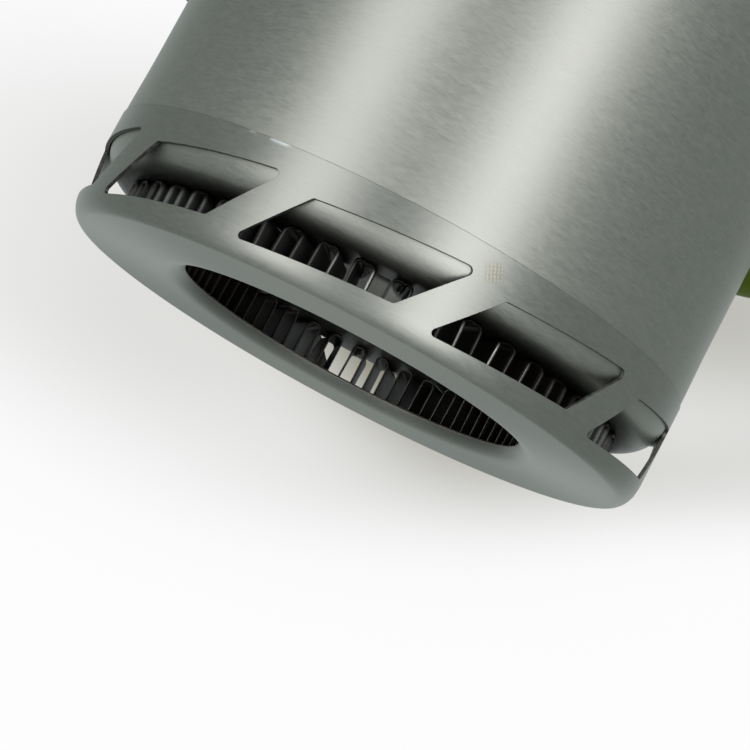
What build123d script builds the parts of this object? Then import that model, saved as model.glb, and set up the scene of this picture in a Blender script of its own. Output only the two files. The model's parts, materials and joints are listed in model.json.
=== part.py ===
from build123d import *
import math
import os

os.makedirs("parts", exist_ok=True)

# A one litre camping pot with a heat exchanger under its floor.  Millimetres, +Z up.
# The origin is on the pot's axis, in the plane that the pot stands on.  An azimuth is an
# angle about the axis in degrees: 0 looks out along -Y and 90 along +X.  The handles are
# hinged at the back, on +Y.

# ---- driving dimensions: pot
skirt_radius = 65.5          # outside of the flame skirt
skirt_sheet = 0.8
skirt_height = 23.4          # foot plane to the skirt's top edge
pot_step = 0.45              # how far the skirt stands proud of the bare wall above it
pot_wall = 1.2
pot_floor_height = 11.5      # foot plane to the underside of the pot's floor
pot_floor_sheet = 1.5
pot_corner = 7.0             # outside radius between floor and wall
rim_height = 103.0           # foot plane to the top of the rim
rim_bead_radius = 1.5

# ---- flame skirt
flange_width = 26.3          # skirt's outside in to the round burner opening
lip_bend = 1.2               # outside bend radius where the flange turns up into its lip
lip_height = 2.5             # foot plane to the lip's edge
foot_corner_across = 3.3     # the skirt's rounded foot: an ellipse this wide
foot_corner_up = 5.2         # and this high
window_count = 10
window_first = 0.0           # azimuth that the first window's corners are given from
# corners of one slanted window: (azimuth from the window's own zero, height, corner radius)
window_top_left = (-17.6, 15.9, 0.8)
window_top_right = (12.2, 18.45, 1.1)
window_bottom_right = (2.0, 5.1, 1.2)
window_bottom_left = (-27.4, 3.2, 0.85)

# ---- fin strip
fin_folds = 45
fin_sheet = 0.35
fin_lip_gap = 2.8            # burner opening's edge to the fins' inner edges
fin_corner_gap = 1.0         # fins' outer edges to where the pot's corner starts
fin_foot_gap = 0.5           # between the fins and the flange below them
fin_bend = 1.0               # outside radius of each fold's crest
fin_joint_azimuth = -1.6     # where the strip's two ends meet
fin_joint_gap = 0.5

# ---- handles
wire_radius = 2.0
hinge_clearance = 0.05
bracket_sheet = 1.5
bracket_width = 30.0
ear_thickness = 1.5
hinge_spread = 18.0          # between the two handles' hinge lines
hinge_standoff = 5.25        # pot wall to the plane of the hinge lines
ear_margin = 5.5             # ear sheet beyond a hinge line
ear_corner = 5.0
leg_drop = 38.3              # rim down to each handle's lower leg
leg_gap = 24.0               # between a handle's two legs
leg_bend = 4.0               # bend from a leg into its hinge end
leg_straight = 14.0          # bare straight beside the hinge
leg_heading = 14.0           # the straight's slant towards the pot, degrees
bow_slack = 19.65            # the folded handle's bow is this much wider than the pot
bow_end = 60.0               # heading where the bow ends, degrees
loop_bend = 9.0              # bends at the handle's closed end
hinge_gap = 0.5              # between a bend and the ear beside it
hinge_stub = 2.5             # wire beyond the ear
grip_radius = 3.6
grip_start = 19.0            # heading where the silicone sleeve starts, degrees
rivet_radius = 2.0
rivet_head = 3.6
rivet_dome = 1.4
rivet_tail = 3.2
rivet_tail_dome = 1.0
rivet_spread = 14.0          # between the two rivets
washer_radius = 5.0
washer_sheet = 0.8

# ---- lid
lid_sheet = 0.8
lid_gap = 0.3                # between the rim and the lid's flange
lid_overhang = 0.0           # lid flange beyond the rim bead
lid_fit = 0.5                # round the lid's well, inside the pot
lid_well = 3.7               # depth of the well below the flange
lid_panel_inset = 16.35      # from the well's side in to the lid's raised middle
lid_panel_rise = 1.2
lid_panel_ramp = 3.0
drain_count = 9              # holes on each side
drain_radius = 2.2
drain_inset = 7.05           # from the well's side in to the drain holes' circle
drain_pitch = 7.0            # degrees
lifter_radius = 1.5
lifter_lift = 3.6            # lid panel to the lifter's wire
lifter_width = 34.0          # between the lifter's legs
lifter_length = 30.0         # hinge line to the lifter's bar
lifter_bend = 5.0
lifter_pin_gap = 0.5         # between a lifter's bend and the ear beside it
lifter_stub = 2.0
lifter_grip_radius = 3.2
lifter_grip_length = 20.0
lifter_ear = 1.2
lifter_base_sheet = 1.2
lifter_base_depth = 14.0
lifter_ear_radius = 3.2
lid_rivet_spread = 9.0
lid_rivet_radius = 1.5
lid_rivet_head = 2.7
lid_rivet_dome = 1.1
lid_washer_radius = 4.0

# ---- what follows from them
seat_radius = skirt_radius - skirt_sheet        # pot wall inside the skirt
pot_radius = skirt_radius - pot_step            # bare pot wall
bore_radius = pot_radius - pot_wall
opening_radius = skirt_radius - flange_width
fin_inner = opening_radius + fin_lip_gap
fin_outer = seat_radius - pot_corner - fin_corner_gap
hinge_reach = pot_radius + hinge_standoff
bow_radius = pot_radius + bow_slack
leg_low = rim_height - leg_drop
leg_high = leg_low + leg_gap
ear_low_top = leg_low - leg_bend - hinge_gap
ear_high_bottom = leg_high + leg_bend + hinge_gap
bracket_low = ear_low_top - ear_thickness
bracket_high = ear_high_bottom + ear_thickness
bracket_radius = pot_radius + bracket_sheet
bracket_middle = (bracket_low + bracket_high) / 2
rivet_heights = (bracket_middle - rivet_spread / 2, bracket_middle + rivet_spread / 2)
hinge_x = hinge_spread / 2
rim_radius = bore_radius + 2 * rim_bead_radius
lid_radius = rim_radius + lid_overhang
flange_low = rim_height + lid_gap
flange_high = flange_low + lid_sheet
well_radius = bore_radius - lid_fit
well_top = flange_high - lid_well
lid_panel_radius = well_radius - lid_panel_inset
drain_circle = well_radius - drain_inset
panel_top = well_top + lid_panel_rise
lifter_height = panel_top + lifter_lift


def save(node, solid):
    """Write one sub-part to its own STEP file."""
    solid.label = node
    export_step(solid, f"parts/{node}.step")


def outward(azimuth):
    """Unit vector away from the axis at an azimuth."""
    angle = math.radians(azimuth)
    return Vector(math.sin(angle), -math.cos(angle), 0)


def facing(azimuth, distance=0.0):
    """Plane square to the radius at an azimuth, its x along the wall and its y up."""
    out = outward(azimuth)
    return Plane(origin=out * distance, x_dir=(-out.Y, out.X, 0), z_dir=out)


def turned(*edges):
    """Solid of revolution from the edges of a closed outline in (radius, height)."""
    return revolve(Plane.XZ * make_face(Curve() + list(edges)), Axis.Z)


def upright(radius, low, high):
    """Solid cylinder on the pot's axis between two heights."""
    return Pos(0, 0, low) * Cylinder(radius, high - low, align=(Align.CENTER, Align.CENTER, Align.MIN))


def dome(radius, rise):
    """Rivet head on the XY plane: a spherical cap."""
    ball = (radius**2 + rise**2) / (2 * rise)
    base = Cylinder(radius, rise, align=(Align.CENTER, Align.CENTER, Align.MIN))
    return (Pos(0, 0, rise - ball) * Sphere(ball)) & base


def along(path, *radii):
    """Round wire, or a sleeve if two radii are given, swept along a path."""
    start = Plane(origin=path @ 0, z_dir=path % 0)
    section = Circle(radii[0])
    if len(radii) > 1:
        section -= Circle(radii[1])
    return sweep(start * section, path=path)


# ---- pot body: floor, rounded corner, wall and rolled rim in one drawn sheet
inner_corner = pot_corner - pot_wall
floor_top = pot_floor_height + pot_floor_sheet
rim_top = rim_height - rim_bead_radius
bend_mid = math.sin(math.radians(45))


def quarter(centre, radius, across, up):
    """Quarter arc from the side of a circle to its top or bottom, by the signs given."""
    side = (centre[0] + across * radius, centre[1])
    middle = (centre[0] + across * radius * bend_mid, centre[1] + up * radius * bend_mid)
    return ThreePointArc(side, middle, (centre[0], centre[1] + up * radius))


outer_centre = (seat_radius - pot_corner, pot_floor_height + pot_corner)
inner_centre = (bore_radius - inner_corner, floor_top + inner_corner)
pot_shell = turned(
    Line((0, pot_floor_height), (outer_centre[0], pot_floor_height)),
    quarter(outer_centre, pot_corner, 1, -1),
    Polyline(
        (seat_radius, outer_centre[1]),
        (seat_radius, skirt_height),
        (pot_radius, skirt_height),
        (pot_radius, rim_top),
        (bore_radius, rim_top),
        (bore_radius, inner_centre[1]),
    ),
    quarter(inner_centre, inner_corner, 1, -1),
    Polyline((inner_centre[0], floor_top), (0, floor_top), (0, pot_floor_height)),
)
rim_bead = Pos(0, 0, rim_top) * Torus(bore_radius + rim_bead_radius, rim_bead_radius)
pot_body = pot_shell + rim_bead

# ---- flame skirt: a sheet ring with slanted windows, turned in under the pot as its foot
corner_across = foot_corner_across
corner_up = foot_corner_up
outer_foot = (skirt_radius - corner_across, corner_up)
flange_top = skirt_sheet
lip_centre = (opening_radius + lip_bend, lip_bend)
lip_inner_bend = lip_bend - skirt_sheet


def foot_corner(inset):
    """The rounded foot, or the same curve one sheet further in."""
    return EllipticalCenterArc(
        outer_foot,
        corner_across - inset,
        corner_up - inset,
        start_angle=270,
        arc_size=90,
    )


skirt_ring = turned(
    Line((skirt_radius, skirt_height), (skirt_radius, corner_up)),
    foot_corner(0),
    Line((outer_foot[0], 0), (lip_centre[0], 0)),
    quarter(lip_centre, lip_bend, -1, -1),
    Polyline(
        (opening_radius, lip_bend),
        (opening_radius, lip_height),
        (opening_radius + skirt_sheet, lip_height),
        (opening_radius + skirt_sheet, lip_bend),
    ),
    quarter(lip_centre, lip_inner_bend, -1, -1),
    Line((lip_centre[0], flange_top), (outer_foot[0], flange_top)),
    foot_corner(skirt_sheet),
    Polyline((seat_radius, corner_up), (seat_radius, skirt_height), (skirt_radius, skirt_height)),
)
window_middle = (window_bottom_left[0] + window_top_right[0]) / 2
window_corners = [
    (skirt_radius * math.sin(math.radians(azimuth - window_middle)), height)
    for azimuth, height, _ in (window_top_left, window_top_right, window_bottom_right, window_bottom_left)
]
window_radii = [corner[2] for corner in (window_top_left, window_top_right, window_bottom_right, window_bottom_left)]
flame_skirt = skirt_ring
for number in range(window_count):
    azimuth = window_first + window_middle + number * 360 / window_count
    hole = make_face(FilletPolyline(*window_corners, radius=window_radii, close=True))
    flame_skirt -= extrude(facing(azimuth, seat_radius - pot_corner) * hole, amount=2 * pot_corner)

# ---- fin strip: one corrugated band, its crests on the pot's floor
fin_low = flange_top + fin_foot_gap
fin_high = pot_floor_height
fold_angle = 360 / fin_folds


def fold_face(radius):
    """Section of one fold, square to the radius, from mid trough to mid trough."""
    edge = radius * math.tan(math.radians(fold_angle / 2))
    plate = radius * math.tan(math.radians(fold_angle / 4))
    outside = plate + fin_sheet / 2
    inside = plate - fin_sheet / 2
    inner_bend = fin_bend - fin_sheet
    top = (outside - fin_bend, fin_high - fin_bend)
    half = Curve() + [
        Polyline((0, fin_high), (top[0], fin_high)),
        quarter(top, fin_bend, 1, 1),
        Polyline(
            (outside, top[1]),
            (outside, fin_low + fin_sheet),
            (edge, fin_low + fin_sheet),
            (edge, fin_low),
            (inside, fin_low),
            (inside, top[1]),
        ),
        quarter(top, inner_bend, 1, 1),
        Line((top[0], fin_high - fin_sheet), (0, fin_high - fin_sheet)),
    ]
    return make_face(half + mirror(half, about=Plane.YZ))


def fold(azimuth):
    """One fold, lofted from the strip's inner edge to its outer edge."""
    return loft([facing(azimuth, radius) * fold_face(radius) for radius in (fin_inner, fin_outer)])


folds = [fold(fin_joint_azimuth + (number + 0.5) * fold_angle) for number in range(fin_folds)]
fin_strip = folds[0] + folds[1:]
joint_length = fin_outer - fin_inner + 2 * fin_bend
joint_centre = outward(fin_joint_azimuth) * ((fin_inner + fin_outer) / 2)
joint_cut = facing(fin_joint_azimuth, joint_centre.length) * Box(fin_joint_gap, 4 * pot_floor_height, joint_length)
fin_strip -= joint_cut

# ---- handle bracket: a plate riveted to the wall, with a folded ear above and below
bracket_plate = upright(bracket_radius, bracket_low, bracket_high) - upright(pot_radius, 0, rim_height)
plate_box = Pos(0, bracket_radius, bracket_middle) * Box(
    bracket_width, bracket_radius, bracket_high - bracket_low
)
bracket_plate &= plate_box
ear_depth = hinge_reach + ear_margin
ear_outline = Pos(0, ear_depth / 2) * Rectangle(bracket_width, ear_depth)
ear_outline = fillet(ear_outline.vertices().group_by(Axis.Y)[-1], ear_corner)
for side in (-1, 1):
    ear_outline -= Pos(side * hinge_x, hinge_reach) * Circle(wire_radius + hinge_clearance)
ear = extrude(ear_outline, amount=ear_thickness) - upright(bracket_radius, 0, ear_thickness)
handle_bracket = bracket_plate + Pos(0, 0, bracket_low) * ear + Pos(0, 0, ear_high_bottom) * ear


def radial_pin(radius, near, far, height):
    """Cylinder along +Y through the wall at a height."""
    pin = Cylinder(radius, far - near, align=(Align.CENTER, Align.CENTER, Align.MIN))
    return Pos(0, near, height) * Rot(X=-90) * pin


# ---- rivets and their inside washers, bedded on the curved wall
washer_face = bore_radius - washer_sheet
rivets = []
washers = []
for height in rivet_heights:
    hole = radial_pin(rivet_radius, 0, rim_radius * 2, height)
    pot_body -= hole
    handle_bracket -= hole
    washer = radial_pin(washer_radius, washer_face / 2, pot_radius, height)
    washer &= upright(bore_radius, 0, rim_height) - upright(washer_face, 0, rim_height)
    washers.append(washer - hole)
    crown = bracket_radius - rivet_head**2 / bracket_radius
    head = radial_pin(rivet_head, crown, bracket_radius, height)
    head += Pos(0, bracket_radius, height) * Rot(X=-90) * dome(rivet_head, rivet_dome)
    head -= upright(bracket_radius, 0, rim_height)
    tail = radial_pin(rivet_tail, washer_face - rivet_tail**2 / washer_face, washer_face, height)
    tail &= upright(washer_face, 0, rim_height)
    tail_face = washer_face - rivet_tail**2 / washer_face
    tail += Pos(0, tail_face, height) * Rot(X=90) * dome(rivet_tail, rivet_tail_dome)
    shank = radial_pin(rivet_radius, tail_face, bracket_radius, height)
    rivets.append(shank + head + tail)

# ---- handles: a wire loop each, its two ends sprung into the bracket's ears
heading = math.radians(leg_heading)
pin_point = Vector(hinge_x, hinge_reach, 0)
straight_way = Vector(math.cos(heading), -math.sin(heading), 0)
bow_start = pin_point + straight_way * leg_straight
bow_centre = bow_start - Vector(math.sin(heading), math.cos(heading), 0) * bow_radius


def bow_point(angle, height):
    """Point of the bowed leg where it heads at an angle towards the pot."""
    turn = math.radians(angle)
    return bow_centre + Vector(math.sin(turn), math.cos(turn), 0) * bow_radius + Vector(0, 0, height)


def bow(start, end, height):
    """Stretch of a bowed leg between two headings."""
    return ThreePointArc(
        bow_point(start, height), bow_point((start + end) / 2, height), bow_point(end, height)
    )


def hinge_end(height, up):
    """Straight, bend and hinge pin of a leg, as a list of edges from the pin's tip."""
    level = Vector(0, 0, height)
    away = Vector(0, 0, up)
    tip = pin_point + Vector(0, 0, height + up * (leg_bend + hinge_gap + ear_thickness + hinge_stub))
    turn_start = pin_point + level + away * leg_bend
    turn_end = pin_point + level + straight_way * leg_bend
    turn_centre = turn_end + away * leg_bend
    turn_middle = turn_centre - (straight_way + away) * (leg_bend * bend_mid)
    return [
        Line(tip, turn_start),
        ThreePointArc(turn_start, turn_middle, turn_end),
        Line(turn_end, bow_start + level),
    ]


end_turn = math.radians(bow_end)
end_way = Vector(math.cos(end_turn), -math.sin(end_turn), 0)


def closed_end():
    """The loop's far end: a bend, an upright and a bend, between the two legs."""
    edges = []
    for height, up in ((leg_low, 1), (leg_high, -1)):
        start = bow_point(bow_end, height)
        centre = start + Vector(0, 0, up * loop_bend)
        middle = centre + (end_way - Vector(0, 0, up)) * (loop_bend * bend_mid)
        edges.append(ThreePointArc(start, middle, centre + end_way * loop_bend))
    upright_run = Line(edges[0] @ 1, edges[1] @ 1)
    return [edges[0], upright_run, edges[1]]


wire_path = Wire(
    hinge_end(leg_low, -1)
    + [bow(leg_heading, bow_end, leg_low)]
    + closed_end()
    + [bow(bow_end, leg_heading, leg_high)]
    + hinge_end(leg_high, 1)
)
grip_path = Wire([bow(grip_start, bow_end, leg_low)] + closed_end() + [bow(bow_end, grip_start, leg_high)])
right_handle_wire = along(wire_path, wire_radius)
right_handle_grip = along(grip_path, grip_radius, wire_radius)

# ---- lid: a flange on the rim, a well inside it and a raised middle with drain holes
ramp_end = lid_panel_radius + lid_panel_ramp
lid_shell = turned(
    Polyline(
        (0, panel_top),
        (lid_panel_radius, panel_top),
        (ramp_end, well_top),
        (well_radius - lid_sheet, well_top),
        (well_radius - lid_sheet, flange_high),
        (lid_radius, flange_high),
        (lid_radius, flange_low),
        (well_radius, flange_low),
        (well_radius, well_top - lid_sheet),
        (ramp_end, well_top - lid_sheet),
        (lid_panel_radius, panel_top - lid_sheet),
        (0, panel_top - lid_sheet),
        close=True,
    )
)
for side in (90, 270):
    for number in range(drain_count):
        azimuth = side + (number - (drain_count - 1) / 2) * drain_pitch
        lid_shell -= Pos(*(outward(azimuth) * drain_circle)) * upright(drain_radius, 0, 2 * rim_height)

# ---- lifter bracket on the lid: a base with an ear at each end for the folding lifter
ear_x = lifter_width / 2 - lifter_bend - lifter_pin_gap - lifter_ear / 2
base_high = panel_top + lifter_base_sheet
lid_lifter_bracket = Pos(0, 0, panel_top + lifter_base_sheet / 2) * Box(
    2 * ear_x + lifter_ear, lifter_base_depth, lifter_base_sheet
)
for side in (-1, 1):
    post = Box(lifter_ear, 2 * lifter_ear_radius, lifter_lift, align=(Align.CENTER, Align.CENTER, Align.MIN))
    eye = Rot(Y=90) * Cylinder(lifter_ear_radius, lifter_ear)
    cheek = Pos(0, 0, panel_top) * post + Pos(0, 0, lifter_height) * eye
    lid_lifter_bracket += Pos(side * ear_x, 0, 0) * cheek
pin_hole = Pos(0, 0, lifter_height) * Rot(Y=90) * Cylinder(lifter_radius + hinge_clearance, 2 * lifter_width)
lid_lifter_bracket -= pin_hole

lid_rivets = []
lid_washers = []
panel_under = panel_top - lid_sheet
lid_washer_low = panel_under - washer_sheet
for side in (-1, 1):
    place = Pos(side * lid_rivet_spread / 2, 0, 0)
    hole = place * upright(lid_rivet_radius, 0, 2 * rim_height)
    lid_shell -= hole
    lid_lifter_bracket -= hole
    lid_washers.append(place * upright(lid_washer_radius, lid_washer_low, panel_under) - hole)
    rivet = place * upright(lid_rivet_radius, lid_washer_low, base_high)
    rivet += place * Pos(0, 0, base_high) * dome(lid_rivet_head, lid_rivet_dome)
    rivet += place * Pos(0, 0, lid_washer_low) * Rot(X=180) * dome(lid_rivet_head, lid_rivet_dome)
    lid_rivets.append(rivet)

# ---- lifter: a wire loop that lies on the lid and stands up to be held
half_width = lifter_width / 2
pin_tip = ear_x - lifter_ear / 2 - lifter_stub
corner_middle = lifter_bend * (1 - bend_mid)
half_loop = [
    Line((pin_tip, 0), (half_width - lifter_bend, 0)),
    ThreePointArc(
        (half_width - lifter_bend, 0), (half_width - corner_middle, corner_middle), (half_width, lifter_bend)
    ),
    Line((half_width, lifter_bend), (half_width, lifter_length - lifter_bend)),
    ThreePointArc(
        (half_width, lifter_length - lifter_bend),
        (half_width - corner_middle, lifter_length - corner_middle),
        (half_width - lifter_bend, lifter_length),
    ),
]
bar_half = half_width - lifter_bend
other_half = [mirror(edge, about=Plane.YZ).edge() for edge in half_loop]
bar = Line((bar_half, lifter_length), (-bar_half, lifter_length))
lifter_path = Pos(0, 0, lifter_height) * Wire(half_loop + [bar] + other_half)
lid_lifter_wire = along(lifter_path, lifter_radius)
sleeve = Cylinder(lifter_grip_radius, lifter_grip_length) - Cylinder(lifter_radius, lifter_grip_length)
lid_lifter_grip = Pos(0, lifter_length, lifter_height) * Rot(Y=90) * sleeve

save("pot_body", pot_body)
save("flame_skirt", flame_skirt)
save("fin_strip", fin_strip)
save("handle_bracket", handle_bracket)
save("bracket_rivets", Compound(children=[rivet.solid() for rivet in rivets]))
save("bracket_washers", Compound(children=[washer.solid() for washer in washers]))
save("right_handle_wire", right_handle_wire)
save("right_handle_grip", right_handle_grip)
save("left_handle_wire", mirror(right_handle_wire, about=Plane.YZ))
save("left_handle_grip", mirror(right_handle_grip, about=Plane.YZ))
save("lid_shell", lid_shell)
save("lid_lifter_bracket", lid_lifter_bracket)
save("lid_rivets", Compound(children=[rivet.solid() for rivet in lid_rivets]))
save("lid_washers", Compound(children=[washer.solid() for washer in lid_washers]))
save("lid_lifter_wire", lid_lifter_wire)
save("lid_lifter_grip", lid_lifter_grip)
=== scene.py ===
import json
import math
import random

import bmesh
import bpy
from mathutils import Matrix, Vector


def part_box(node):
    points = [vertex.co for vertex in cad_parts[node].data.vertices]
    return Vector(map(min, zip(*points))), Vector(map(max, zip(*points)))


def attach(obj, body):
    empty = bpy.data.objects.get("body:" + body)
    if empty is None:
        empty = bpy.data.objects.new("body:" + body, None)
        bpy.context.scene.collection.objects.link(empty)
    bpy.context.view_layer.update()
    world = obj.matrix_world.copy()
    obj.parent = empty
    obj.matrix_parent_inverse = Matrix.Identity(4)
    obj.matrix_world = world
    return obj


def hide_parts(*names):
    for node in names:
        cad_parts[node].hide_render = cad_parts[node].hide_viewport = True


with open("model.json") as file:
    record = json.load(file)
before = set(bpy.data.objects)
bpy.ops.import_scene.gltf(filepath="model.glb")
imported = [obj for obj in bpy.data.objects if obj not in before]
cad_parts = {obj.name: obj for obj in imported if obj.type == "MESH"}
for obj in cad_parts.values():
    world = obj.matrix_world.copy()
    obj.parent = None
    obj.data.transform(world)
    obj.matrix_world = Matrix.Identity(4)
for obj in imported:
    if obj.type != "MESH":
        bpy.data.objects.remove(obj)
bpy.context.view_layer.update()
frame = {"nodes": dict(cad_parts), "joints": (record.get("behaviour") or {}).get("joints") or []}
solids = frame["nodes"]
joints = {joint["name"]: joint for joint in frame["joints"]}
scene = bpy.context.scene
scene.view_settings.view_transform = "Standard"


# ======== The studio ========
# A long lens looks a little up at the pot's foot, rolled so that the pot leans to the right.
# The sweep behind is white paper, and the table is pale and matte.

look_at = Vector((0.0062, 0.0, 0.0011))
camera_back = 0.5174
camera_below = 0.0722
camera_roll = math.radians(28.0)

camera_data = bpy.data.cameras.new("camera")
camera_data.lens = 120.5
camera_data.sensor_width = 36.0
camera_data.clip_start = 0.01
camera = bpy.data.objects.new("camera", camera_data)
scene.collection.objects.link(camera)
camera.location = (0.0, -camera_back, -camera_below)
towards = look_at - camera.location
aimed = towards.to_track_quat("-Z", "Y").to_matrix() @ Matrix.Rotation(camera_roll, 3, "Z")
camera.rotation_euler = aimed.to_euler()
scene.camera = camera


def colour(code):
    """sRGB hex to the linear colour that a socket takes."""
    channels = []
    for place in (0, 2, 4):
        value = int(code[place : place + 2], 16) / 255
        channels.append(value / 12.92 if value <= 0.04045 else ((value + 0.055) / 1.055) ** 2.4)
    return (*channels, 1.0)


def add(tree, kind, settings=None, **sockets):
    """Adds a node. settings are its own properties. sockets are named, or numbered after an i, and
    each takes a value, a hex colour, a link, or another node for the link from its result."""
    node = tree.nodes.new(kind)
    for name, value in (settings or {}).items():
        setattr(node, name, value)
    for name, value in sockets.items():
        numbered = name[0] == "i" and name[1:].isdigit()
        socket = node.inputs[int(name[1:]) if numbered else name.replace("_", " ")]
        if isinstance(value, bpy.types.Node):
            value = next(output for output in value.outputs if output.enabled)
        if isinstance(value, bpy.types.NodeSocket):
            tree.links.new(value, socket)
        else:
            socket.default_value = colour(value) if isinstance(value, str) else value
    return node


# The room: the paper behind the pot is bright, the sides and the floor below are dimmer. The camera
# sees the paper itself instead, with four soft patches of shade that the pot throws on it.
side_level = 0.32
back_level = 0.41
back_starts, back_full = 0.65, 0.98
floor_ends, floor_full = -0.3, -0.5
paper_white = "FDFDFE"
paper_shade = "565210"
darkest_paper = 0.1
# depth of each patch, the way to its middle (across, up), its reach, and its tilt in degrees
paper_shades = (
    (0.629, (0.029, 0.165), (0.047, 0.035), -9),
    (0.104, (-0.066, 0.108), (0.113, 0.041), 6),
    (0.11, (0.12, 0.151), (0.111, 0.02), 28),
    (0.276, (0.068, 0.212), (0.191, 0.044), 14),
)
any_depth = 1000.0
screen_gamma = 2.2
eased = {"interpolation_type": "SMOOTHSTEP"}
times = {"operation": "MULTIPLY"}
times_plus = {"operation": "MULTIPLY_ADD"}
of_colours = {"data_type": "RGBA"}

room = bpy.data.worlds.new("studio_room")
scene.world = room
room.use_nodes = True
tree = room.node_tree
tree.nodes.clear()
way = add(tree, "ShaderNodeTexCoord").outputs["Generated"]
split = add(tree, "ShaderNodeSeparateXYZ", Vector=way).outputs
behind = add(tree, "ShaderNodeMapRange", eased, i0=split["Y"], i1=back_starts, i2=back_full)
above = add(
    tree, "ShaderNodeMapRange", eased, i0=split["Z"], i1=floor_ends, i2=floor_full, i3=1.0, i4=0.0
)
backdrop = add(tree, "ShaderNodeMath", times, i0=behind, i1=above)
level = add(tree, "ShaderNodeMath", times_plus, i0=backdrop, i1=back_level, i2=side_level)
fill = add(tree, "ShaderNodeBackground", Color="F7FFFE", Strength=level)

brightness = 1.0
for depth, middle, reach, tilt in paper_shades:
    local = add(
        tree,
        "ShaderNodeMapping",
        {"vector_type": "TEXTURE"},
        Vector=way,
        Location=(middle[0], 0.0, middle[1]),
        Rotation=(0.0, -math.radians(tilt), 0.0),
        Scale=(reach[0], any_depth, reach[1]),
    )
    squared = add(tree, "ShaderNodeVectorMath", {"operation": "DOT_PRODUCT"}, i0=local, i1=local)
    minus = add(tree, "ShaderNodeMath", times, i0=squared, i1=-1.0)
    fade = add(tree, "ShaderNodeMath", {"operation": "EXPONENT"}, i0=minus)
    brightness = add(tree, "ShaderNodeMath", times_plus, i0=fade, i1=-depth, i2=brightness)
shade = add(tree, "ShaderNodeMapRange", i0=brightness, i1=darkest_paper, i3=darkest_paper)
light = add(tree, "ShaderNodeMath", {"operation": "POWER"}, i0=shade, i1=screen_gamma)
whiteness = add(tree, "ShaderNodeMapRange", i0=light, i1=colour(paper_shade)[0])
toned = add(tree, "ShaderNodeMix", of_colours, i0=whiteness, i6=paper_shade, i7=paper_white)
paper = add(tree, "ShaderNodeBackground", Color=toned, Strength=1.0)
ray = add(tree, "ShaderNodeLightPath").outputs
seen_rays = (ray["Is Camera Ray"], ray["Is Transmission Ray"])
seen = add(tree, "ShaderNodeMath", {"operation": "MAXIMUM"}, i0=seen_rays[0], i1=seen_rays[1])
mixed = add(tree, "ShaderNodeMixShader", Fac=seen, i1=fill, i2=paper)
add(tree, "ShaderNodeOutputWorld", Surface=mixed)

# The table: seen from above, clear from below, and it keeps no light from the pot's foot.
table_half = 1.5
table_gap = 0.0002
square = ((-1, -1), (1, -1), (1, 1), (-1, 1))
table_mesh = bpy.data.meshes.new("table")
table_mesh.from_pydata([(table_half * x, table_half * y, 0) for x, y in square], [], [(0, 1, 2, 3)])
table = bpy.data.objects.new("table", table_mesh)
scene.collection.objects.link(table)
table.location.z = -table_gap
for kind in ("shadow", "diffuse", "glossy", "transmission"):
    setattr(table, f"visible_{kind}", False)
table_paint = bpy.data.materials.new("pale_table_paint")
table_paint.use_nodes = True
tree = table_paint.node_tree
tree.nodes.clear()
below = add(tree, "ShaderNodeNewGeometry").outputs["Backfacing"]
matte = add(tree, "ShaderNodeBsdfDiffuse", Color="E4E4E2")
clear = add(tree, "ShaderNodeBsdfTransparent")
one_sided = add(tree, "ShaderNodeMixShader", Fac=below, i1=matte, i2=clear)
add(tree, "ShaderNodeOutputMaterial", Surface=one_sided)
table_mesh.materials.append(table_paint)

lamp_tone = (1.0, 0.965, 1.0)
lamp_aim = Vector((0, 0, 0.04))


def softbox(name, azimuth, height, distance, width, tall, watts):
    """A soft square lamp that faces the pot's middle, at an azimuth from the camera's side."""
    lamp = bpy.data.lights.new(name, "AREA")
    lamp.shape = "RECTANGLE"
    lamp.size = width
    lamp.size_y = tall
    lamp.energy = watts
    lamp.color = lamp_tone
    holder = bpy.data.objects.new(name, lamp)
    scene.collection.objects.link(holder)
    angle = math.radians(azimuth)
    holder.location = (distance * math.sin(angle), -distance * math.cos(angle), height)
    holder.rotation_euler = (lamp_aim - holder.location).to_track_quat("-Z", "Y").to_euler()


softbox("key_softbox", azimuth=18, height=0.0, distance=1.2, width=0.5, tall=2.0, watts=9.0)
softbox("left_softbox", azimuth=-40.5, height=0.0, distance=1.2, width=0.58, tall=2.0, watts=7.8)
softbox("top_softbox", azimuth=150, height=1.3, distance=0.5, width=1.2, tall=1.2, watts=8)
softbox("low_softbox", azimuth=-20, height=-0.9, distance=0.7, width=1.2, tall=1.2, watts=0.5)


# ======== Pot body ========
# One deep drawn aluminium sheet with a rolled rim, hard anodised after its outside was brushed
# round and round on a lathe. The lines run along the wall and draw each lamp into a tall band.

MM = 0.001
pot_low, pot_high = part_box("pot_body")
skirt_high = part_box("flame_skirt")[1]
skirt_radius = skirt_high.x
skirt_top = skirt_high.z
skirt_sheet = 0.8 * MM
pot_step = 0.45 * MM
pot_wall = 1.2 * MM
pot_floor_sheet = 1.5 * MM
pot_corner = 7.0 * MM
rim_bead = 1.5 * MM
wall_swell = 0.2 * MM
swell_height = 14.0 * MM
pot_turns = 480
seat_radius = skirt_radius - skirt_sheet
pot_radius = skirt_radius - pot_step
bore_radius = pot_radius - pot_wall
pot_floor = pot_low.z
rim_height = pot_high.z
same_place = 1e-7


def arc(centre, across, up, start, end, steps):
    """Points of a round or oval stretch of an outline, between two angles in degrees."""
    points = []
    for step in range(steps + 1):
        angle = math.radians(start + (end - start) * step / steps)
        points.append((centre[0] + across * math.cos(angle), centre[1] + up * math.sin(angle)))
    return points


def spaced(start, end, steps):
    """Even points from a start to just before an end."""
    return [
        (start[0] + (end[0] - start[0]) * step / steps, start[1] + (end[1] - start[1]) * step / steps)
        for step in range(steps)
    ]


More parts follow.
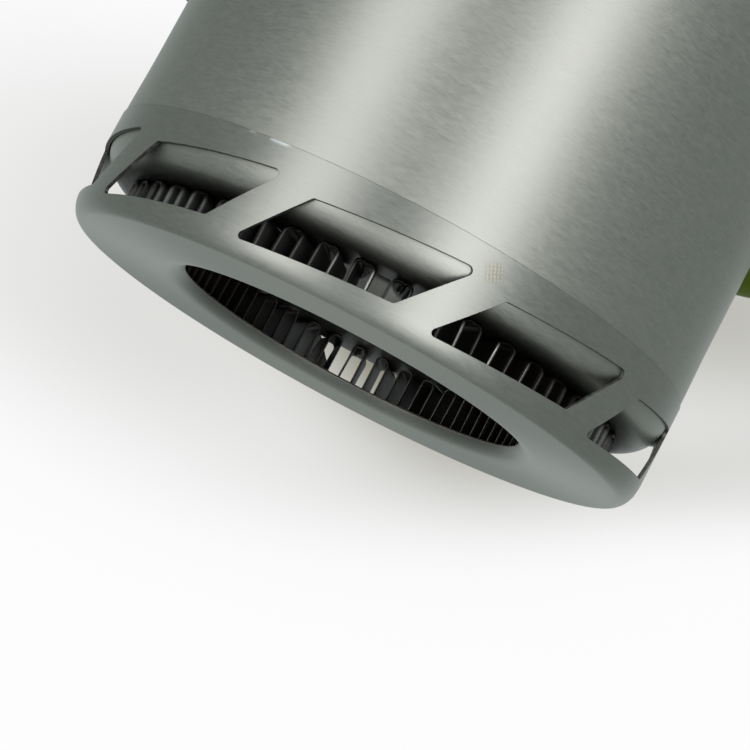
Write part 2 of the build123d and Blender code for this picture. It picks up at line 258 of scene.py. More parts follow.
def turned(name, outline, turns):
    """Mesh made by turning a closed outline of (radius, height) about the pot's axis."""
    points = []
    faces = []
    count = len(outline)
    for turn in range(turns):
        angle = 2 * math.pi * turn / turns
        here = turn * count
        there = (turn + 1) % turns * count
        for step, (radius, height) in enumerate(outline):
            points.append((radius * math.cos(angle), radius * math.sin(angle), height))
            ahead = (step + 1) % count
            faces.append((here + step, there + step, there + ahead, here + ahead))
    mesh = bpy.data.meshes.new(name)
    mesh.from_pydata(points, [], faces)
    return mesh


def cleaned(mesh):
    """A mesh as an editable shape, its doubled points joined and its faces turned outwards."""
    shape = bmesh.new()
    shape.from_mesh(mesh)
    bmesh.ops.remove_doubles(shape, verts=shape.verts, dist=same_place)
    bmesh.ops.recalc_face_normals(shape, faces=shape.faces)
    return shape


def make_piece(mesh, body, material, sharp=35.0):
    """Links a finished mesh as a piece on a body, smooth but for its sharp edges."""
    shape = cleaned(mesh)
    limit = math.radians(sharp)
    for edge in shape.edges:
        edge.smooth = len(edge.link_faces) != 2 or edge.calc_face_angle(0.0) <= limit
    for face in shape.faces:
        face.smooth = True
    shape.to_mesh(mesh)
    shape.free()
    piece = bpy.data.objects.new(mesh.name, mesh)
    scene.collection.objects.link(piece)
    mesh.materials.append(material)
    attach(piece, body)
    return piece


def dress(node, material):
    """Gives a CAD node a material."""
    solids[node].data.materials.clear()
    solids[node].data.materials.append(material)


def start_material(name):
    """New material with an empty node tree."""
    material = bpy.data.materials.new(name)
    material.use_nodes = True
    material.node_tree.nodes.clear()
    return material, material.node_tree


def turned_place(tree):
    """Place on the pot as its angle about the axis, its radius and its height."""
    place = add(tree, "ShaderNodeTexCoord").outputs["Object"]
    split = add(tree, "ShaderNodeSeparateXYZ", Vector=place).outputs
    angle = add(tree, "ShaderNodeMath", {"operation": "ARCTAN2"}, i0=split["Y"], i1=split["X"])
    flat = add(tree, "ShaderNodeCombineXYZ", X=split["X"], Y=split["Y"], Z=0.0)
    radius = add(tree, "ShaderNodeVectorMath", {"operation": "LENGTH"}, i0=flat)
    return angle, radius, split["Z"]


def streaks(tree, place, per_turn, outwards, upwards):
    """Noise drawn out round the axis, as turning marks are, at so many to the metre."""
    angle, radius, height = place
    # the angle goes round a circle, so that the two ends of the turn meet
    circle = []
    for wave in ("COSINE", "SINE"):
        swing = add(tree, "ShaderNodeMath", {"operation": wave}, i0=angle)
        circle.append(add(tree, "ShaderNodeMath", times, i0=swing, i1=per_turn))
    level = add(tree, "ShaderNodeMath", times, i0=height, i1=upwards)
    ring = add(tree, "ShaderNodeMath", times, i0=radius, i1=outwards)
    vector = add(tree, "ShaderNodeCombineXYZ", X=circle[0], Y=circle[1], Z=level)
    return add(
        tree,
        "ShaderNodeTexNoise",
        {"noise_dimensions": "4D"},
        Vector=vector,
        W=ring,
        Scale=1.0,
        Detail=3.0,
        Roughness=0.6,
    )


# Hard anodised aluminium, brushed: the brushing shows as short streaks, a little lighter and
# rougher where they are worn, and the coat's grey-green is clouded very slightly. The streaks are
# 1.9 by 0.4 mm and 5 by 1.2 mm and the clouds 30 mm. The grit's own lines are finer than that, and
# are drawn as coarse as they need to be to show.
brush_depth = 0.02 * MM


def brushed_coat(tree, dull, clear, worn):
    """The coat's colour, its roughness, the lines of its brushing, and the place on the pot."""
    place = turned_place(tree)
    fine = streaks(tree, place, 34.0, 2.6 / MM, 2.5 / MM)
    broad = streaks(tree, place, 13.0, 0.9 / MM, 0.85 / MM)
    cloud = streaks(tree, place, 2.4, 0.03 / MM, 0.034 / MM)
    lines = add(tree, "ShaderNodeMath", times_plus, i0=broad, i1=0.45, i2=fine)
    wear = add(tree, "ShaderNodeMapRange", i0=lines, i1=0.5, i2=0.95)
    clouds = add(tree, "ShaderNodeMapRange", i0=cloud, i1=0.3, i2=0.7)
    coat = add(tree, "ShaderNodeMix", of_colours, i0=clouds, i6=dull, i7=clear)
    coat = add(tree, "ShaderNodeMix", of_colours, i0=wear, i6=coat, i7=worn)
    rough = add(tree, "ShaderNodeMapRange", i0=wear, i3=0.42, i4=0.5)
    return coat, rough, lines, place


def lathe_finish(tree, coat, rough, relief, pull):
    """Metal whose brushing runs round the pot's axis and pulls its shine across that way."""
    shader = add(
        tree,
        "ShaderNodeBsdfPrincipled",
        Base_Color=coat,
        Metallic=1.0,
        Roughness=rough,
        Anisotropic=pull,
        Anisotropic_Rotation=0.25,
        Normal=add(tree, "ShaderNodeBump", Strength=1.0, Distance=brush_depth, Height=relief),
        Tangent=add(tree, "ShaderNodeTangent", {"direction_type": "RADIAL", "axis": "Z"}),
    )
    add(tree, "ShaderNodeOutputMaterial", Surface=shader)


# The same coat under the floor and low on the wall, painted dark there: painted shade inside the
# skirt, where little light reaches, and the flame's browning.
scorch_shade_low = 11.5 * MM
scorch_shade_high = 13.4 * MM


def wall_coat(name, scorched_and_shaded):
    """The wall's finish, or the same with painted shade and the flame's scorching low down."""
    material, tree = start_material(name)
    coat, rough, lines, (_, _, height) = brushed_coat(tree, "9FA39B", "A7AAA2", "B2B5AC")
    if scorched_and_shaded:
        unshaded = add(tree, "ShaderNodeMapRange", i0=height, i1=scorch_shade_low, i2=scorch_shade_high)
        coat = add(tree, "ShaderNodeMix", of_colours, i0=unshaded, i6="3F4039", i7=coat)
    lathe_finish(tree, coat, rough, lines, pull=0.35)
    return material


pot_paint = wall_coat("brushed_hard_anodised", False)
scorch_and_shade_paint = wall_coat("scorched_and_shaded_hard_anodised", True)


def wall_point(share):
    """Point of the wall just above the skirt, where it swells over the pressed seat."""
    swell = wall_swell * (1 + math.cos(math.pi * share)) / 2
    return (pot_radius + swell, skirt_top + share * swell_height)


inner_corner = pot_corner - pot_wall
floor_top = pot_floor + pot_floor_sheet
outer_bend = (seat_radius - pot_corner, pot_floor + pot_corner)
inner_bend = (bore_radius - inner_corner, floor_top + inner_corner)
bead_centre = (bore_radius + rim_bead, rim_height - rim_bead)
bead_meets = math.degrees(math.acos((pot_radius - bead_centre[0]) / rim_bead))
pot_outline = (
    spaced((0, pot_floor), (outer_bend[0], pot_floor), 30)
    + arc(outer_bend, pot_corner, pot_corner, -90, 0, 18)
    + spaced((seat_radius, outer_bend[1] + wall_swell), (seat_radius, skirt_top), 4)
    + [wall_point(share) for share in (0.0, 0.04, 0.1, 0.2, 0.35, 0.5, 0.65, 0.8, 0.92)]
    + spaced((pot_radius, skirt_top + swell_height), (pot_radius, bead_centre[1] - rim_bead), 34)
    + arc(bead_centre, rim_bead, rim_bead, -bead_meets, 180, 22)
    + spaced((bore_radius, bead_centre[1] - rim_bead), (bore_radius, inner_bend[1]), 30)
    + arc(inner_bend, inner_corner, inner_corner, 0, -90, 14)
    + spaced((inner_bend[0] - rim_bead, floor_top), (0, floor_top), 30)
    + [(0, floor_top)]
)
pot = make_piece(turned("pot_shell", pot_outline, pot_turns), "pot", pot_paint)
pot.data.materials.append(scorch_and_shade_paint)
# faces low on the outside and under the floor take the painted shade and scorching
for face in pot.data.polygons:
    outside = face.normal.x * face.center.x + face.normal.y * face.center.y > 0
    underside = face.normal.z < -0.5
    if face.center.z < scorch_shade_high and (outside or underside):
        face.material_index = 1
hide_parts("pot_body")
dress("pot_body", pot_paint)


# ======== Flame skirt ========
# A sheet ring pressed over the pot's foot, with ten slanted windows for the hot gas. It turns in
# below as a broad flange, which the pot stands on, and curls up round the burner opening.

window_count = 10
window_pitch = math.radians(360 / window_count)
# azimuth in degrees, height and corner radius of one window's corners
window_corners = ((-17.6, 15.9, 0.8), (12.2, 18.45, 1.1), (2.0, 5.1, 1.2), (-27.4, 3.2, 0.85))
# azimuth and height of two points on the middle line of the strut that follows it
strut_top, strut_low = (15.3, 17.2), (5.4, 4.3)
cell_low = 1.9 * MM
cell_high = 20.6 * MM
foot_across = 3.3 * MM
foot_up = 5.2 * MM
opening_radius = 39.1 * MM
lip_length = 6.5 * MM
lip_turn = math.radians(56)
lip_quickening = 1.7
lip_steps = 16
skirt_edge = 0.22 * MM
side_steps = 30
end_steps = 12
window_bend_steps = 4
ring_steps = 9
ring_crowding = 1.25
side_crowding = 0.06
band_steps = 4
foot_steps = 9
flange_steps = 24


def skirt_profile(height):
    """Outside radius of the skirt at a height above the foot plane."""
    if height >= foot_up:
        return skirt_radius
    drop = (foot_up - height) / foot_up
    return skirt_radius - foot_across + foot_across * math.sqrt(max(0.0, 1 - drop * drop))


def at_azimuth(azimuth, radius, height):
    """Point at an azimuth that starts at the camera's side and turns towards +X."""
    return Vector((radius * math.sin(azimuth), -radius * math.cos(azimuth), height))


def rounded_side(start, corner, end, radius, steps):
    """Arc that rounds a corner, in two halves that meet at its middle."""
    back = (start - corner).normalized()
    ahead = (end - corner).normalized()
    half_angle = math.acos(max(-1, min(1, back.dot(ahead)))) / 2
    reach = radius / math.tan(half_angle)
    centre = corner + (back + ahead).normalized() * (radius / math.sin(half_angle))
    first = corner + back * reach - centre
    last = corner + ahead * reach - centre
    turn = math.atan2(first.x * last.y - first.y * last.x, first.dot(last))
    points = []
    for step in range(2 * steps + 1):
        angle = turn * step / (2 * steps)
        across = first.x * math.cos(angle) - first.y * math.sin(angle)
        up = first.x * math.sin(angle) + first.y * math.cos(angle)
        points.append(centre + Vector((across, up)))
    return points[: steps + 1], points[steps:]


# one window drawn flat, as it looks from straight outside its middle
middle = math.radians((window_corners[3][0] + window_corners[1][0]) / 2)
flat_corners = [
    Vector((skirt_radius * math.sin(math.radians(azimuth) - middle), height * MM))
    for azimuth, height, _ in window_corners
]
halves = []
for place, corner in enumerate(flat_corners):
    before = flat_corners[place - 1]
    after = flat_corners[(place + 1) % 4]
    halves.append(rounded_side(before, corner, after, window_corners[place][2] * MM, window_bend_steps))
# its four sides in order: top, right, bottom, left, each from one corner's middle to the next
window_line = []
side_counts = []
for place in range(4):
    steps = side_steps if place % 2 == 0 else end_steps
    start = halves[place][1]
    finish = halves[(place + 1) % 4][0]
    straight = [start[-1].lerp(finish[0], step / steps) for step in range(1, steps)]
    side = start + straight + finish
    side_counts.append(len(side) - 1)
    window_line += side[:-1]
window_angles = [
    Vector((middle + math.asin(point.x / skirt_profile(point.y)), point.y)) for point in window_line
]
strut_slope = math.radians(strut_top[0] - strut_low[0]) / ((strut_top[1] - strut_low[1]) * MM)


def cell_corner(height, windows_back):
    """Corner of the window's cell, on the middle line of the strut after it or before it."""
    azimuth = math.radians(strut_low[0]) + strut_slope * (height - strut_low[1] * MM)
    return Vector((azimuth - windows_back * window_pitch, height))


cell_places = ((cell_high, 1), (cell_high, 0), (cell_low, 0), (cell_low, 1))
cell_corners = [cell_corner(*place) for place in cell_places]
cell_angles = []
for place, count in enumerate(side_counts):
    for step in range(count):
        # a little closer together near the side's ends, as the window's points are
        share = step / count - side_crowding * math.sin(2 * math.pi * step / count)
        cell_angles.append(cell_corners[place].lerp(cell_corners[(place + 1) % 4], share))

# the lip's section from the flange to its edge, curling up ever more quickly
lip = [(0.0, 0.0)]
for step in range(lip_steps):
    slope = lip_turn * ((step + 0.5) / lip_steps) ** lip_quickening
    inwards = lip[-1][0] - math.cos(slope) * lip_length / lip_steps
    lip.append((inwards, lip[-1][1] + math.sin(slope) * lip_length / lip_steps))
lip = [(opening_radius + inwards - lip[-1][0], up) for inwards, up in lip]

skirt_mesh = bpy.data.meshes.new("flame_skirt_sheet")
shape = bmesh.new()


def on_skirt(azimuth, height):
    """New vertex on the skirt's outside."""
    return shape.verts.new(at_azimuth(azimuth, skirt_profile(height), height))


def quads(low_row, high_row, closed=False):
    """Fills the faces between two rows of vertices."""
    count = len(low_row)
    for step in range(count if closed else count - 1):
        ahead = (step + 1) % count
        shape.faces.new((low_row[step], low_row[ahead], high_row[ahead], high_row[step]))


def fill(rows):
    """Fills the faces between each row of vertices and the next."""
    for low_row, high_row in zip(rows, rows[1:]):
        quads(low_row, high_row)


low_angle = math.degrees(math.asin((foot_up - cell_low) / foot_up))
foot = arc((skirt_radius - foot_across, foot_up), foot_across, foot_up, -low_angle, -90, foot_steps)
under_outline = foot + spaced(foot[-1], lip[0], flange_steps)[1:] + lip
top_line = cell_angles[: side_counts[0] + 1]
low_start = side_counts[0] + side_counts[1]
low_line = cell_angles[low_start : low_start + side_counts[2] + 1]
for number in range(window_count):
    turn = number * window_pitch
    # the cell: rings of points from the window's edge out to the middle lines of its struts
    rings = []
    for ring in range(ring_steps + 1):
        share = (ring / ring_steps) ** ring_crowding
        points = [inner.lerp(outer, share) for inner, outer in zip(window_angles, cell_angles)]
        rings.append([on_skirt(point.x + turn, point.y) for point in points])
    for inner, outer in zip(rings, rings[1:]):
        quads(outer, inner, closed=True)
    # the band above the window, up to the skirt's edge
    rows = []
    for step in range(band_steps + 1):
        height = cell_high + (skirt_top - cell_high) * step / band_steps
        rows.append([on_skirt(point.x + turn, height) for point in top_line])
    fill(rows)
    # the band below it: round the foot, across the flange, and up as the lip
    azimuths = [point.x + turn for point in low_line]
    rows = []
    for point in under_outline:
        rows.append([shape.verts.new(at_azimuth(azimuth, *point)) for azimuth in azimuths])
    fill(rows)
bmesh.ops.remove_doubles(shape, verts=shape.verts, dist=1e-6)
shape.to_mesh(skirt_mesh)
shape.free()

# Hard anodised aluminium, pressed: the same brushed coat as the wall, a shade duller, and darker
# underneath towards the lip's edge. The press has chipped it in two places on the top edge, in
# flakes of 1.1 mm, and a knurled weld has left its print, dots 0.72 mm apart, on two struts.
# Each chip has its azimuth in degrees, half its width and half its height in mm.
chips = ((-33.4, 0.9, 0.6), (-27.9, 2.5, 0.6))
chip_depth = 3.0
flakes_per_mm = 0.9
# how much darker the coat is drawn towards the lip's edge
lip_darkening = 0.5
lip_darkening_starts = opening_radius + 3.4 * MM
lip_darkening_full = opening_radius + 0.2 * MM
flange_ends = 3.0 * MM
wall_starts = 4.0 * MM
weld_azimuths = (14.1, 194.1)
weld_height = 19.4 * MM
weld_tilt = math.radians(26)
weld_half = 1.25
weld_soft = 1.0
weld_reach = 2.0
weld_pitch = 0.72
weld_depth = 0.012 * MM
weld_relief = -weld_depth / brush_depth
weld_stain = 0.35
dot_rub = 0.18


def seen_from(tree, azimuth, height, tilt):
    """Millimetres across, in and up from a place on the skirt, as one looks at it from outside."""
    angle = math.radians(azimuth)
    local = add(
        tree,
        "ShaderNodeMapping",
        {"vector_type": "TEXTURE"},
        Vector=add(tree, "ShaderNodeTexCoord").outputs["Object"],
        Location=at_azimuth(angle, skirt_radius, height),
        Rotation=(0.0, 0.0, angle),
        Scale=(MM, MM, MM),
    )
    level = add(tree, "ShaderNodeVectorRotate", {"rotation_type": "Y_AXIS"}, Vector=local, Angle=tilt)
    return add(tree, "ShaderNodeSeparateXYZ", Vector=level).outputs


def within(tree, value, half, soft):
    """1 where a value lies within a distance of zero, falling to 0 over a soft margin."""
    size = add(tree, "ShaderNodeMath", {"operation": "ABSOLUTE"}, i0=value)
    return add(tree, "ShaderNodeMapRange", i0=size, i1=half, i2=half + soft, i3=1.0, i4=0.0)


def overlap(tree, first, *others):
    """Where several masks all hold: their product."""
    for other in others:
        first = add(tree, "ShaderNodeMath", times, i0=first, i1=other)
    return first


skirt_paint, tree = start_material("pressed_hard_anodised")
coat, rough, relief, (_, radius, height) = brushed_coat(tree, "999D96", "A1A49D", "ACAFA7")
under = add(tree, "ShaderNodeMapRange", i0=height, i1=flange_ends, i2=wall_starts, i3=1.0, i4=0.0)
near_lip = add(tree, "ShaderNodeMapRange", i0=radius, i1=lip_darkening_starts, i2=lip_darkening_full, i4=lip_darkening)
coat = add(tree, "ShaderNodeMix", of_colours, i0=overlap(tree, near_lip, under), i6=coat, i7="33352F")
for azimuth in weld_azimuths:
    local = seen_from(tree, azimuth, weld_height, weld_tilt)
    waves = []
    for way in ("X", "Z"):
        turns = add(tree, "ShaderNodeMath", times, i0=local[way], i1=math.pi / weld_pitch)
        waves.append(add(tree, "ShaderNodeMath", {"operation": "COSINE"}, i0=turns))
    dots = overlap(tree, *waves, *waves)
    patch = overlap(
        tree,
        within(tree, local["X"], weld_half, weld_soft),
        within(tree, local["Z"], weld_half, weld_soft),
        within(tree, local["Y"], weld_reach, weld_soft),
    )
    pressed = overlap(tree, dots, patch)
    relief = add(tree, "ShaderNodeMath", times_plus, i0=pressed, i1=weld_relief, i2=relief)
    stained = overlap(tree, patch, weld_stain)
    coat = add(tree, "ShaderNodeMix", of_colours, i0=stained, i6=coat, i7="95907A")
    rubbed = overlap(tree, pressed, dot_rub)
    coat = add(tree, "ShaderNodeMix", of_colours, i0=rubbed, i6=coat, i7="CFC9B8")
place = add(tree, "ShaderNodeTexCoord").outputs["Object"]
flakes = add(tree, "ShaderNodeTexNoise", Vector=place, Scale=flakes_per_mm / MM, Detail=3.0)
flaked = add(tree, "ShaderNodeMapRange", i0=flakes, i1=0.36, i2=0.44)
for azimuth, half_width, half_height in chips:
    local = seen_from(tree, azimuth, skirt_top, 0.0)
    chip = overlap(
        tree,
        within(tree, local["X"], half_width * 0.6, half_width * 0.6),
        within(tree, local["Z"], half_height * 0.4, half_height),
        within(tree, local["Y"], chip_depth, 1.0),
        flaked,
    )
    coat = add(tree, "ShaderNodeMix", of_colours, i0=chip, i6=coat, i7="DCE4E2")
lathe_finish(tree, coat, rough, relief, pull=0.66)

# The same coat at the punched edges: rounded over, and dulled by the flame in spots of 1.4 mm. Its
# grey is darker than the face's, as painted shade along the window edges, where the gap behind the
# sheet lies in shade, and it keeps glints off their corners. The lip's own edge is rubbed bare and
# has a chalky bloom, which makes it paler and hardly metallic.
spots_per_mm = 0.7
bare_full = opening_radius + 0.4 * MM
bare_ends = opening_radius + 0.9 * MM
edge_paint, tree = start_material("burnt_and_shaded_punched_edge")
place = add(tree, "ShaderNodeTexCoord").outputs["Object"]
soot = add(tree, "ShaderNodeTexNoise", Vector=place, Scale=spots_per_mm / MM, Detail=3.0)
burnt = add(tree, "ShaderNodeMapRange", i0=soot, i1=0.35, i2=0.65)
radius = turned_place(tree)[1]
bare = add(tree, "ShaderNodeMapRange", i0=radius, i1=bare_full, i2=bare_ends, i3=1.0, i4=0.0)
# the edges' darker grey is painted shade
coat = add(tree, "ShaderNodeMix", of_colours, i0=burnt, i6="62645F", i7="7C7E78")
shader = add(
    tree,
    "ShaderNodeBsdfPrincipled",
    Base_Color=add(tree, "ShaderNodeMix", of_colours, i0=bare, i6=coat, i7="A5A194"),
    Metallic=add(tree, "ShaderNodeMapRange", i0=bare, i3=1.0, i4=0.3),
    Roughness=add(tree, "ShaderNodeMapRange", i0=burnt, i3=0.5, i4=0.6),
    Normal=add(tree, "ShaderNodeBump", Strength=0.5, Distance=brush_depth, Height=soot),
)
add(tree, "ShaderNodeOutputMaterial", Surface=shader)


def fit(piece, name, kind, **settings):
    """Gives a piece a modifier with its settings."""
    modifier = piece.modifiers.new(name, kind)
    for setting, value in settings.items():
        setattr(modifier, setting, value)


skirt = make_piece(skirt_mesh, "pot", skirt_paint)
skirt_mesh.materials.append(edge_paint)
fit(
    skirt,
    "sheet",
    "SOLIDIFY",
    thickness=skirt_sheet,
    offset=-1.0,
    use_even_offset=True,
    material_offset_rim=1,
)
fit(
    skirt,
    "edge",
    "BEVEL",
    width=skirt_edge,
    segments=2,
    limit_method="ANGLE",
    angle_limit=math.radians(40),
    harden_normals=True,
    material=1,
)
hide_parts("flame_skirt")
dress("flame_skirt", skirt_paint)


# ======== Fin strip ========
# One thin aluminium band, folded into forty-five arches under the pot's floor. Rolling it into a
# ring has creased the crests, no two plates stand quite alike, and one of its two ends is torn.

fin_low, fin_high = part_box("fin_strip")
fin_folds = 45
fin_sheet = 0.58 * MM
thin_share = 0.52
fin_inner = 42.0 * MM
fin_outer = 56.7 * MM
fin_crest = fin_high.z
fin_foot = fin_low.z
fin_bend = 1.2 * MM
fin_stations = 15
plate_steps = 7
fin_bend_steps = 6
crest_steps = 10
fin_joint = math.radians(-1.6)
fold_angle = 2 * math.pi / fin_folds
# how unlike the folds are: their bends, and in mm their lean, bow, drop and outer end
bend_spread = (0.7, 1.15)
lean_spread = (-0.25, 0.25)
bow_spread = (-0.2, 0.2)
drop_spread = (0.0, 0.2)
end_spread = (-0.25, 0.1)
# creases of a crest: how many, then the limits of each one's place across the crest in half
# widths, its slant, its spread, and its depth in mm
crease_counts = (2, 3, 3)
crease_limits = ((-0.8, 0.8), (-1.5, 1.5), (0.14, 0.3), (0.2, 0.75))
crease_reach = 3 * fin_bend
least_crease = 0.12
# patches round the ring in degrees: their middle, their reach and how often they come back. The
# cut edges of one plate of each fold carry painted light where the lamps reach them, as do the inner
# ends where light passes, and the plates' outer ends are painted lighter in the lit windows.
lit_cuts = ((24.5, 9, 120), (-7, 6, 120))
cut_spread = (0.85, 1.0)
lit_inner_cuts = (115, 55, 360)
least_cut_light = 0.12
most_inner_cut_light = 0.5
crest_cut_light = 0.3
crest_share = 0.9
lit_plate_patch = (-45, 33, 360)
lesser_lit_plate_patch = (64, 14, 360)
lesser_lit_share = 0.7
chance = random.Random(11)
cut_light_chance = random.Random(4)


def fold_points(width, pitch, bends, lean, top):
    """Section of one fold, from mid trough to mid trough, as (across, height) of the sheet's middle."""
    half = fin_sheet / 2
    foot = fin_foot + half
    side = width / 2
    # each half starts along the trough, and bends up through a middle point into its plate
    stretches = []
    for way, bend, start in ((-1, bends[0], 180), (1, bends[1], 0)):
        points = [
            (way * pitch / 2, foot),
            (way * (side + 3 * half), foot),
            (way * (side + half * 0.6), foot + half * 0.8),
        ]
        for step in range(1, plate_steps):
            share = step / plate_steps
            points.append((way * side + lean * share * share, foot + (top - bend - foot) * share))
        centre = (lean + way * (side - bend), top - bend)
        stretches.append(points + arc(centre, bend, bend, start, 90, fin_bend_steps))
    left, right = stretches
    return left + spaced(left[-1], right[-1], crest_steps)[1:] + right[::-1]


def patches(azimuth, middle, reach, every):
    """0 to 1: how far an azimuth lies inside a patch that comes back every so many degrees."""
    away = (math.degrees(azimuth) - middle + every / 2) % every - every / 2
    return math.exp(-((away / reach) ** 2))


def add_sheet(rows, cut_lights, plate_light):
    """Adds a sheet to the strip from rows of points, with each point's painted light on its cut edge
    and its plate's painted light. It is thin at the strip's inner ends and full at the outer ones,
    where the shears left a burr."""
    made = []
    for row, cut_light_row in zip(rows, cut_lights):
        made.append([])
        for point, shine in zip(row, cut_light_row):
            vertex = shape.verts.new(point)
            vertex[cut_painted_light] = shine
            vertex[plate_painted_light] = plate_light
            outwards = (math.hypot(point.x, point.y) - fin_inner) / (fin_outer - fin_inner)
            burr = (1 - thin_share) * min(1.0, max(0.0, outwards)) ** 3
            vertex[swelling][0] = thin_share + burr
            made[-1].append(vertex)
    fill(made)


fin_mesh = bpy.data.meshes.new("folded_fin_strip")
shape = bmesh.new()
cut_painted_light = shape.verts.layers.float.new("cut_painted_light")
plate_painted_light = shape.verts.layers.float.new("plate_painted_light")
swelling = shape.verts.layers.deform.verify()
for fold in range(fin_folds):
    centre = fin_joint + (fold + 0.5) * fold_angle
    along_wall = Vector((math.cos(centre), math.sin(centre), 0))
    bends = [fin_bend * chance.uniform(*bend_spread) for _ in range(2)]
    leans = [chance.uniform(*lean_spread) * MM for _ in range(2)]
    bow = chance.uniform(*bow_spread) * MM
    top = fin_crest - chance.uniform(*drop_spread) * MM - fin_sheet / 2
    outer_end = fin_outer + chance.uniform(*end_spread) * MM
    crease_count = chance.choice(crease_counts)
    creases = [[chance.uniform(*limits) for limits in crease_limits] for _ in range(crease_count)]
    # painted light on the cut edges: one plate of each fold is lit brighter than the other
    plate_cut_light = [
        (least_cut_light + (1 - least_cut_light) * patches(centre, *patch)) * cut_light_chance.uniform(*cut_spread)
        for patch in lit_cuts
    ]
    # painted light on the inner ends, brightest near 115 degrees where light passes
    inner_cut_light = least_cut_light + most_inner_cut_light * patches(centre, *lit_inner_cuts)
    # painted light on the plates' outer ends in the lit windows
    plate_light = patches(centre, *lit_plate_patch) + lesser_lit_share * patches(centre, *lesser_lit_plate_patch)
    rows = []
    cut_lights = []
    for station in range(fin_stations):
        share = station / (fin_stations - 1)
        radius = fin_inner + (outer_end - fin_inner) * share
        pitch = 2 * radius * math.tan(fold_angle / 2)
        width = 2 * radius * math.tan(fold_angle / 4)
        lean = leans[0] + (leans[1] - leans[0]) * share + bow * math.sin(math.pi * share)
        # the creases are deepest halfway along the crest
        inside = least_crease + (1 - least_crease) * math.sin(math.pi * share) ** 0.7
        row = []
        cut_light_row = []
        for across, height in fold_points(width, pitch, bends, lean, top):
            # the cut's painted light fades over the crests, as painted shade
            below = min(1.0, max(0.0, (fin_crest - height) / fin_bend - crest_share))
            outer_cut_light = plate_cut_light[across > lean] * below
            dimmed = inner_cut_light * (crest_cut_light + (1 - crest_cut_light) * below)
            cut_light_row.append(outer_cut_light * share + dimmed * (1 - share))
            if height > fin_crest - crease_reach:
                rise = min(1.0, (height - fin_crest + crease_reach) / (2 * fin_bend))
                place = 2 * (across - lean) / width
                for start, slant, spread, depth in creases:
                    away = (place - start - slant * (share - 0.5)) / spread
                    height -= depth * MM * rise * inside * math.exp(-away * away)
            row.append(at_azimuth(centre, radius, height) + along_wall * across)
        rows.append(row)
        cut_lights.append(cut_light_row)
    add_sheet(rows, cut_lights, plate_light)

# The strip's two ends: each is bent across its channel as a tab, the second with a torn top. Each
# has its azimuths in degrees, its top, tear and bulge in mm, and how much painted light its plate gets.
tabs = ((-3.2, -0.1, 10.2, 0.0, 0.1, 0.45), (0.4, 3.4, 9.9, 1.5, -0.2, 0.8))
tab_radius = 56.4 * MM
# painted light on the tabs' cut edges
tab_cut_light = 0.4
tab_steps = 12
tab_rows = 8
for first, last, top, torn, bulge, plate_light in tabs:
    rows = []
    for step in range(tab_steps + 1):
        share = step / tab_steps
        azimuth = math.radians(first + (last - first) * share)
        high = (top - torn * share * share - torn * 0.5 * math.sin(math.pi * share)) * MM
        out = tab_radius + bulge * math.sin(math.pi * share) * MM
        heights = [fin_foot + (high - fin_foot) * part / tab_rows for part in range(tab_rows + 1)]
        rows.append([at_azimuth(azimuth, out, height) for height in heights])
    add_sheet(rows, [[tab_cut_light] * len(row) for row in rows], plate_light)
bmesh.ops.remove_doubles(shape, verts=shape.verts, dist=1e-5)
shape.to_mesh(fin_mesh)
shape.free()

# Mill aluminium, rolled: fine lines 1.1 mm long and 0.1 mm apart, which dull its shine. The flame
# has smoked the plates dark in clouds of 6 mm. Their outer ends are painted greyer in the lit
# windows, as painted light, and dark again near the crests, as painted shade. The soot hides most of
# the metal's own shine.
light_reach = 47.0 * MM
crest_shade_starts = fin_crest - 2.6 * MM
crest_shade_full = fin_crest - 0.9 * MM
fin_paint, tree = start_material("smoked_mill_aluminium_with_painted_light")
place = add(tree, "ShaderNodeTexCoord").outputs["Object"]
_, radius, height = turned_place(tree)
drawn = add(tree, "ShaderNodeMapping", Vector=place, Scale=(0.9 / MM, 0.9 / MM, 9 / MM))
rolling = add(tree, "ShaderNodeTexNoise", Vector=drawn, Scale=1.0, Detail=3.0, Roughness=0.6)
smoke = add(tree, "ShaderNodeTexNoise", Vector=place, Scale=0.18 / MM, Detail=4.0, Roughness=0.6)
clouds = add(tree, "ShaderNodeMapRange", i0=smoke, i1=0.35, i2=0.7)
smoky = add(tree, "ShaderNodeMix", of_colours, i0=clouds, i6="24201B", i7="37322A")
# outer ends painted greyer where light comes in, and darker near the crests as painted shade
outer = overlap(
    tree,
    add(tree, "ShaderNodeAttribute", {"attribute_name": "plate_painted_light"}).outputs["Fac"],
    add(tree, "ShaderNodeMapRange", i0=radius, i1=light_reach, i2=fin_outer),
    add(tree, "ShaderNodeMapRange", i0=height, i1=crest_shade_starts, i2=crest_shade_full, i3=1.0, i4=0.2),
)
shader = add(
    tree,
    "ShaderNodeBsdfPrincipled",
    Base_Color=add(tree, "ShaderNodeMix", of_colours, i0=outer, i6=smoky, i7="7B817C"),
    Metallic=0.75,
    Roughness=0.55,
    Specular_IOR_Level=0.2,
    Normal=add(tree, "ShaderNodeBump", Strength=0.4, Distance=0.02 * MM, Height=rolling),
)
add(tree, "ShaderNodeOutputMaterial", Surface=shader)

